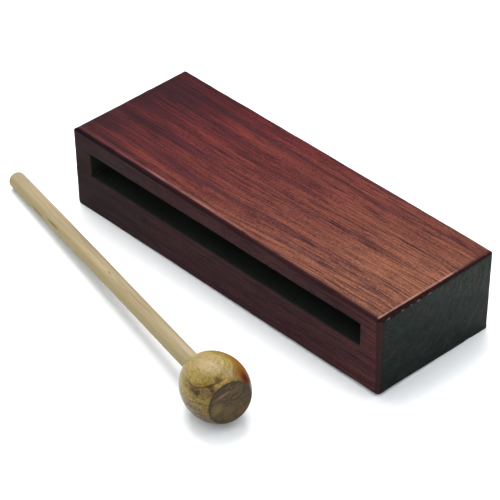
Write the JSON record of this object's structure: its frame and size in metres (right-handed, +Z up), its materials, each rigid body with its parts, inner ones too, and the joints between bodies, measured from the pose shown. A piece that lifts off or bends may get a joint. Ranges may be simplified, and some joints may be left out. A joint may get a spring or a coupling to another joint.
{
  "type": "wood block with beater",
  "caption": "Hand percussion block of solid hardwood with a long resonance slot in its front face, and a loose ball-headed wooden beater to strike it.",
  "frame": {"origin": "centre of the block's underside", "axes": "+X along the block's length, -Y out of the slotted front face, +Z up"},
  "size_m": [0.2051, 0.1279, 0.0382],
  "materials": {
    "block_wood": "satin dark red-brown stain, open grain",
    "handle_wood": "bare sanded dowel",
    "head_wood": "satin clear varnish"
  },
  "bodies": {
    "block": {"block_body": "block_wood"},
    "beater": {"beater_handle": "handle_wood", "beater_head": "head_wood"}
  },
  "joints": [
    {"name": "beater_lift", "type": "slide", "parent": "block", "child": "beater", "axis": [0, 0, 1], "range_m": [0, 0.12]}
  ]
}
